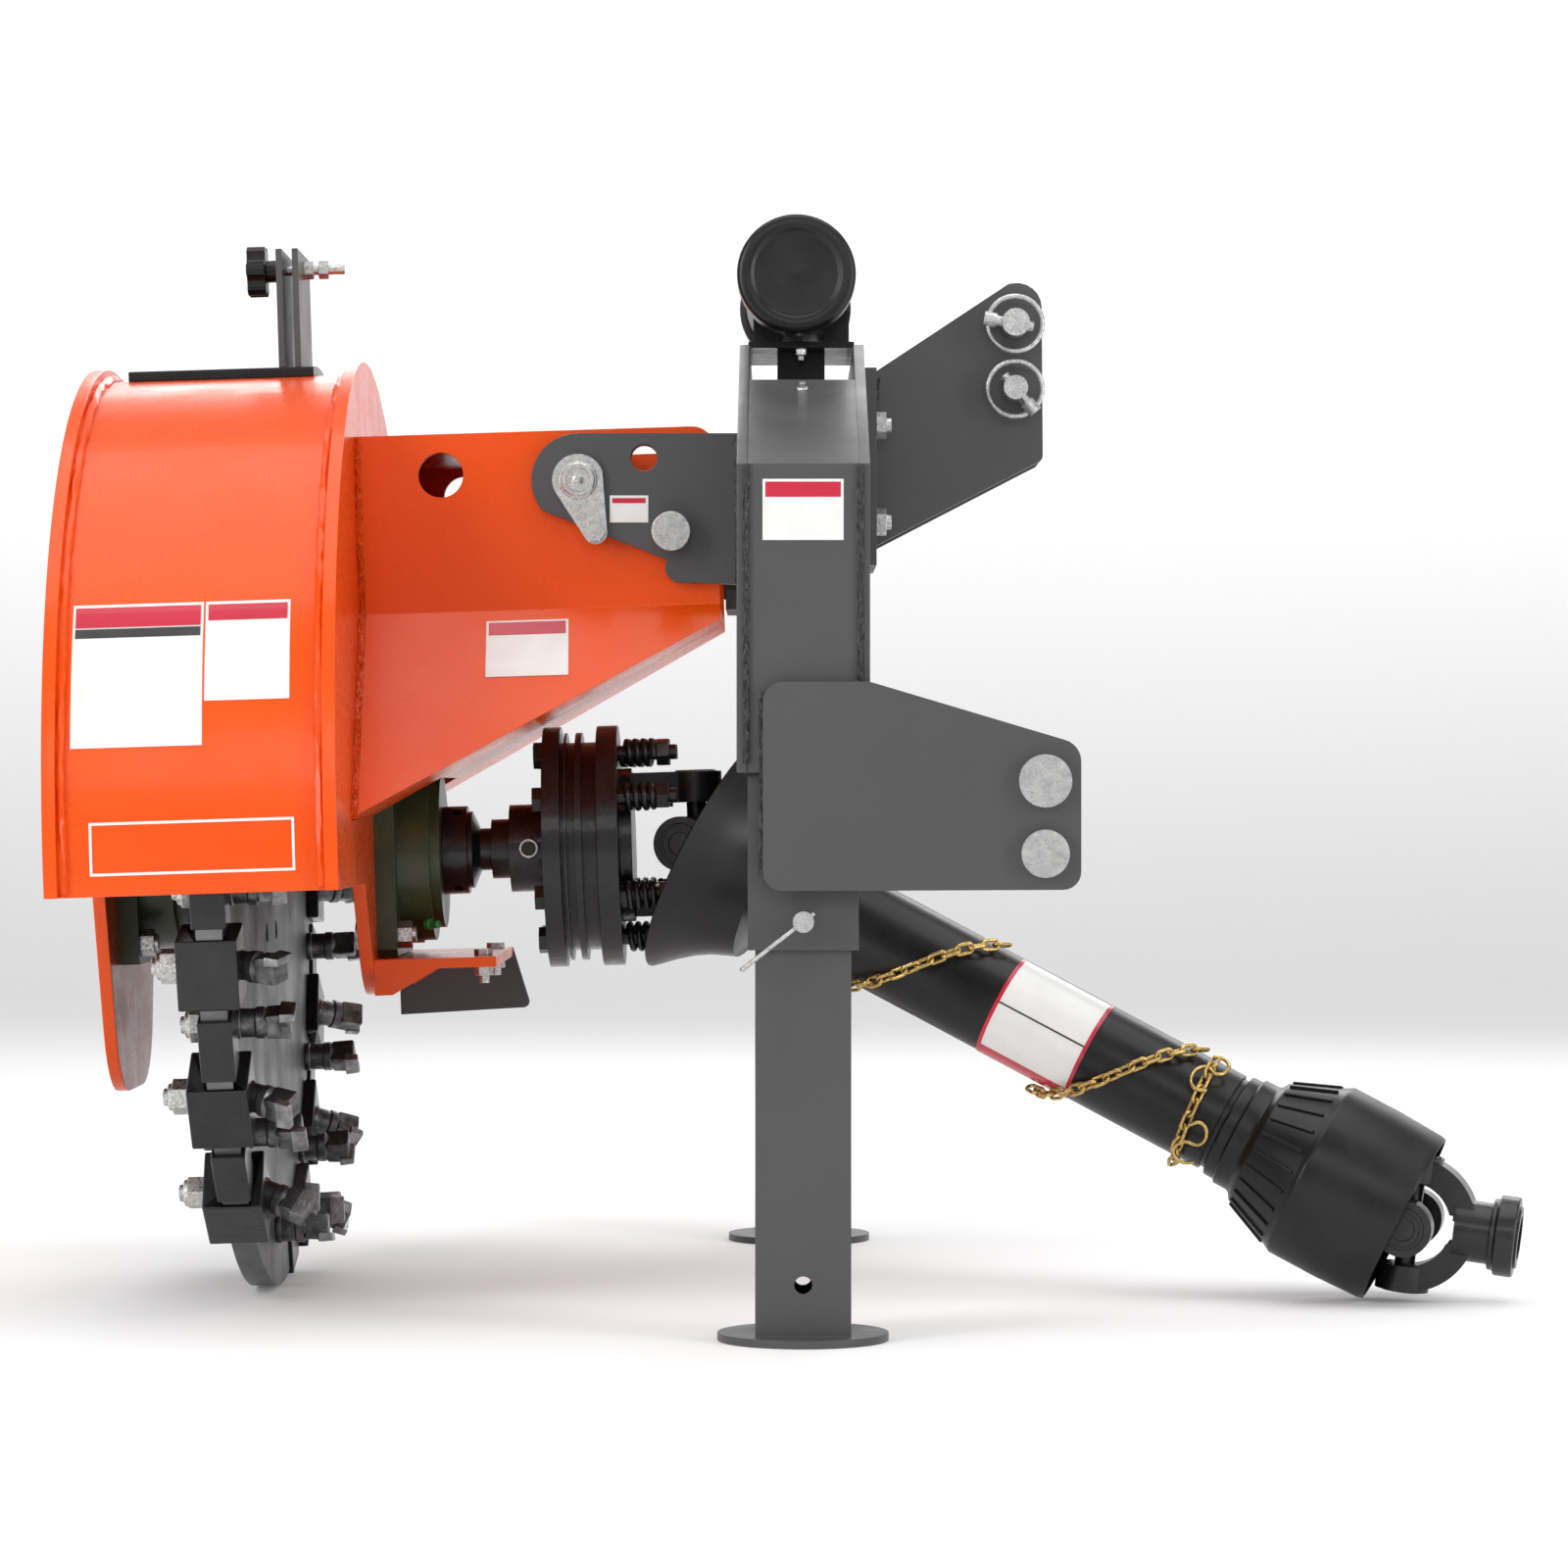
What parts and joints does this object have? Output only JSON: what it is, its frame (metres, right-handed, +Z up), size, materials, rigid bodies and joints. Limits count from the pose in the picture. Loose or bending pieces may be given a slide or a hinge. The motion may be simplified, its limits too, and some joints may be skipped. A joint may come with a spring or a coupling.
{
  "type": "stump grinder",
  "caption": "Stump grinder for a tractor three-point linkage: toothed cutter disc in a hood, tilting boom, portal frame on two legs, clutch and driveshaft.",
  "frame": {"origin": "on the ground under the middle of the machine, on its centre plane, between the two legs", "axes": "+X towards the tractor, +Y to the far side, +Z up"},
  "size_m": [1.1316, 0.922, 0.8495],
  "materials": {
    "orange_paint": "glossy orange enamel",
    "grey_paint": "satin dark grey powder coat",
    "black_steel": "black enamel over castings",
    "dark_steel": "dark ground steel",
    "tooth_steel": "forged steel with bright edges",
    "zinc": "speckled zinc plate",
    "yellow_zinc": "yellow zinc plate",
    "green_casting": "olive green enamel on a casting",
    "black_plastic": "moulded black plastic",
    "rubber": "dark rubber"
  },
  "bodies": {
    "frame": {"rear_portal_plate": "grey_paint", "front_portal_plate": "grey_paint", "outer_web": "grey_paint", "inner_web": "grey_paint", "leg_sleeves": "grey_paint", "lower_link_plates": "grey_paint", "lower_link_pins": "zinc", "top_link_bracket": "grey_paint", "top_link_pins": "zinc", "lynch_pins": "zinc", "frame_bolts": "zinc", "pivot_ears": "grey_paint", "pivot_pin": "zinc", "pivot_keeper": "zinc", "bump_stop": "rubber", "manual_bracket": "black_steel", "manual_tube": "black_plastic"},
    "manual_lid": {"manual_lid": "black_plastic"},
    "near_leg": {"near_leg": "grey_paint"},
    "far_leg": {"far_leg": "grey_paint"},
    "near_leg_pin": {"near_leg_pin": "zinc"},
    "far_leg_pin": {"far_leg_pin": "zinc"},
    "near_tilt_pin": {"near_tilt_pin": "zinc"},
    "far_tilt_pin": {"far_tilt_pin": "zinc"},
    "head": {"hood_outer_plate": "orange_paint", "hood_inner_plate": "orange_paint", "hood_shell": "orange_paint", "boom_near_plate": "orange_paint", "boom_far_plate": "orange_paint", "boom_top_plate": "orange_paint", "boom_bottom_plate": "orange_paint", "boom_bushes": "orange_paint", "hood_strip": "black_steel", "curtain_bars": "grey_paint", "curtain_bolt": "zinc", "flap_bracket": "orange_paint", "debris_flap": "grey_paint", "axle_bearings": "green_casting", "head_bolts": "zinc", "clutch_plates": "black_steel", "clutch_flange_yoke": "black_steel", "clutch_bolts": "black_steel", "clutch_springs": "black_steel"},
    "curtain_knob": {"curtain_knob": "black_plastic"},
    "rotor": {"cutter_disc": "dark_steel", "tooth_holders": "black_steel", "cutter_teeth": "tooth_steel", "cutter_shaft": "dark_steel", "bearing_collars": "black_steel", "clutch_hub": "black_steel"},
    "first_cross": {"first_cross": "black_steel"},
    "inner_shaft": {"inner_shaft": "black_steel"},
    "near_shield": {"near_shield": "black_plastic", "near_chain": "yellow_zinc"},
    "outer_shaft": {"outer_shaft": "black_steel"},
    "far_shield": {"far_shield": "black_plastic", "far_chains": "yellow_zinc"},
    "second_cross": {"second_cross": "black_steel"},
    "end_yoke": {"end_yoke": "black_steel"},
    "lock_collar": {"lock_collar": "black_steel"}
  },
  "joints": [
    {"name": "near_leg_slide", "type": "slide", "parent": "frame", "child": "near_leg", "axis": [0, 0, 1], "range_m": [0, 0.263]},
    {"name": "far_leg_slide", "type": "slide", "parent": "frame", "child": "far_leg", "axis": [0, 0, 1], "range_m": [0, 0.263]},
    {"name": "near_leg_pin_push", "type": "slide", "parent": "frame", "child": "near_leg_pin", "axis": [0, 1, 0], "range_m": [0, 0.012]},
    {"name": "far_leg_pin_push", "type": "slide", "parent": "frame", "child": "far_leg_pin", "axis": [0, -1, 0], "range_m": [0, 0.012]},
    {"name": "near_tilt_pin_push", "type": "slide", "parent": "frame", "child": "near_tilt_pin", "axis": [0, 1, 0], "range_m": [0, 0.012]},
    {"name": "far_tilt_pin_push", "type": "slide", "parent": "frame", "child": "far_tilt_pin", "axis": [0, -1, 0], "range_m": [0, 0.012]},
    {"name": "manual_lid_turn", "type": "hinge", "parent": "frame", "child": "manual_lid", "pos_m": [-0.004, -0.133, 0.803], "axis": [0, 1, 0], "continuous": true},
    {"name": "head_tilt", "type": "hinge", "parent": "frame", "child": "head", "pos_m": [-0.1735, 0, 0.641], "axis": [0, 1, 0], "range_deg": [0, 20]},
    {"name": "curtain_knob_turn", "type": "hinge", "parent": "head", "child": "curtain_knob", "pos_m": [-0.42925, 0, 0.82005], "axis": [0.9995, 0, 0.0314], "continuous": true},
    {"name": "cutter_spin", "type": "hinge", "parent": "head", "child": "rotor", "pos_m": [-0.44038, 0, 0.34647], "axis": [0.9995, 0, 0.0314], "continuous": true},
    {"name": "first_joint_swing", "type": "hinge", "parent": "head", "child": "first_cross", "pos_m": [-0.08356, 0, 0.35768], "axis": [-0.0314, 0, 0.9995], "range_deg": [-7, 33]},
    {"name": "first_joint_fold", "type": "hinge", "parent": "first_cross", "child": "inner_shaft", "pos_m": [-0.08356, 0, 0.35768], "axis": [0.2248, 0.9744, 0.0071], "range_deg": [-44, 0]},
    {"name": "near_shield_turn", "type": "hinge", "parent": "inner_shaft", "child": "near_shield", "pos_m": [0.01268, -0.02184, 0.30687], "axis": [0.867, -0.1967, -0.4578], "continuous": true},
    {"name": "shaft_reach", "type": "slide", "parent": "inner_shaft", "child": "outer_shaft", "axis": [0.867, -0.1967, -0.4578], "range_m": [0, 0.18]},
    {"name": "far_shield_turn", "type": "hinge", "parent": "outer_shaft", "child": "far_shield", "pos_m": [0.3855, -0.10644, 0.11001], "axis": [0.867, -0.1967, -0.4578], "continuous": true},
    {"name": "second_joint_fold", "type": "hinge", "parent": "outer_shaft", "child": "second_cross", "pos_m": [0.47653, -0.1271, 0.06195], "axis": [0.2248, 0.9744, 0.0071], "range_deg": [-12, 30]},
    {"name": "second_joint_swing", "type": "hinge", "parent": "second_cross", "child": "end_yoke", "pos_m": [0.47653, -0.1271, 0.06195], "axis": [0.1213, -0.0352, 0.992], "range_deg": [-18, 18]},
    {"name": "lock_collar_pull", "type": "slide", "parent": "end_yoke", "child": "lock_collar", "axis": [0.9668, -0.2222, -0.1261], "range_m": [-0.01, 0], "stiffness_N_per_m": 800, "springref_m": 0.01}
  ]
}
